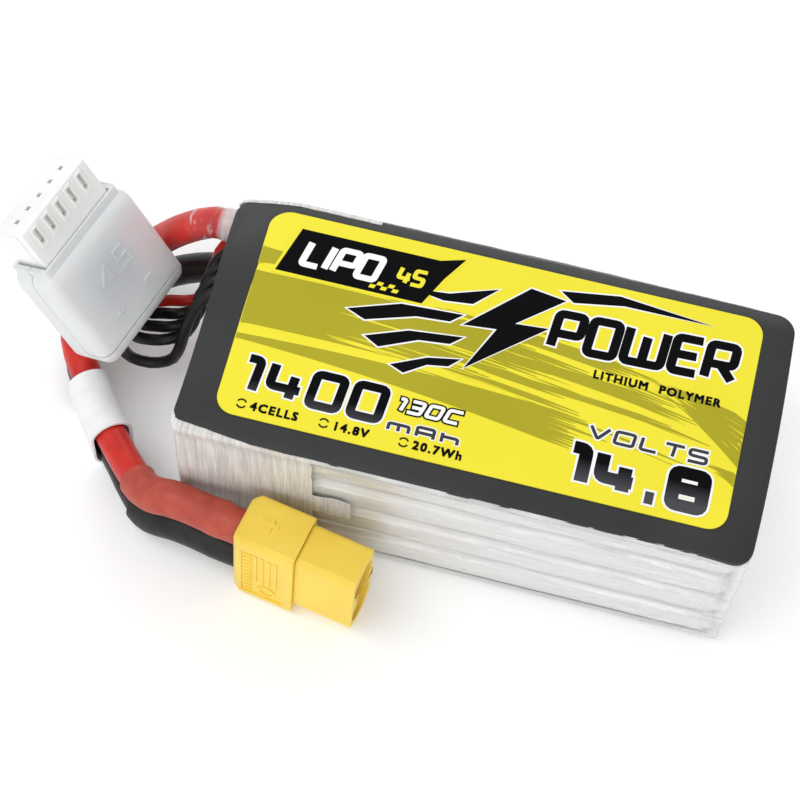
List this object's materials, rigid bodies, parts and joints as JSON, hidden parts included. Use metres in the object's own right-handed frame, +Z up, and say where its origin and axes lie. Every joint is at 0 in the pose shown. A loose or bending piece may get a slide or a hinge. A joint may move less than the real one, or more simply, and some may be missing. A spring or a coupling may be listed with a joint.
{
  "type": "lithium polymer battery pack",
  "caption": "Rectangular soft battery pack with a stiff printed cover, two thick leads to a two-contact power connector, and a ribbon of thin wires to a clipped balance plug.",
  "frame": {"origin": "middle of the pack's underside", "axes": "+X along the pack, away from the end that the leads leave; +Y across it, towards the corner that the leads leave from; +Z up, out of the printed cover"},
  "size_m": [0.1078, 0.0492, 0.0374],
  "materials": {
    "pouch_foil": "laminated foil",
    "fibre_board": "stiff fibre board",
    "foam": "closed-cell foam",
    "nickel": "bright nickel",
    "copper": "bright copper",
    "circuit_board": "solder mask over glass fibre",
    "clear_film": "thin clear shrink film",
    "filament_tape": "clear tape with glass filaments",
    "cover_board": "dark satin laminate",
    "label_ink": "printed film",
    "red_silicone": "soft silicone",
    "black_silicone": "soft silicone",
    "red_shrink": "heat-shrink tube",
    "black_shrink": "heat-shrink tube",
    "white_shrink": "heat-shrink tube",
    "yellow_nylon": "moulded, fine satin",
    "gold_plate": "gold plated",
    "tin_plate": "tin plated",
    "white_nylon": "moulded, satin",
    "frosted_clip": "frosted translucent"
  },
  "bodies": {
    "pack": {"balance_board": "circuit_board", "balance_contact_1": "tin_plate", "balance_contact_2": "tin_plate", "balance_contact_3": "tin_plate", "balance_contact_4": "tin_plate", "balance_contact_5": "tin_plate", "balance_plug": "white_nylon", "balance_wire_1": "black_silicone", "balance_wire_2": "black_silicone", "balance_wire_3": "black_silicone", "balance_wire_4": "black_silicone", "balance_wire_5": "red_silicone", "bottom_board": "fibre_board", "cell_1": "pouch_foil", "cell_2": "pouch_foil", "cell_3": "pouch_foil", "cell_4": "pouch_foil", "cell_spacer_1": "foam", "cell_spacer_2": "foam", "cell_spacer_3": "foam", "clip_tray": "frosted_clip", "connector_housing": "yellow_nylon", "contact_negative": "gold_plate", "contact_positive": "gold_plate", "heat_shrink_black": "black_shrink", "heat_shrink_red": "red_shrink", "lead_end_foam": "foam", "main_lead_black": "black_silicone", "main_lead_red": "red_silicone", "negative_tab": "nickel", "positive_tab": "nickel", "printed_label": "label_ink", "series_link_1": "copper", "series_link_2": "copper", "series_link_3": "copper", "shrink_wrap": "clear_film", "strapping_tape": "filament_tape", "tail_foam": "foam", "top_cover": "cover_board", "white_sleeve": "white_shrink"},
    "cap": {"connector_cap": "yellow_nylon"},
    "clip_lid": {"clip_cover": "frosted_clip"}
  },
  "joints": [
    {"name": "cap_slide", "type": "slide", "parent": "pack", "child": "cap", "axis": [-0.9861, 0.165, 0.0209], "range_m": [0, 0.004]},
    {"name": "clip_lift", "type": "slide", "parent": "pack", "child": "clip_lid", "axis": [0.8196, -0.2723, 0.5042], "range_m": [0, 0.0055]}
  ]
}
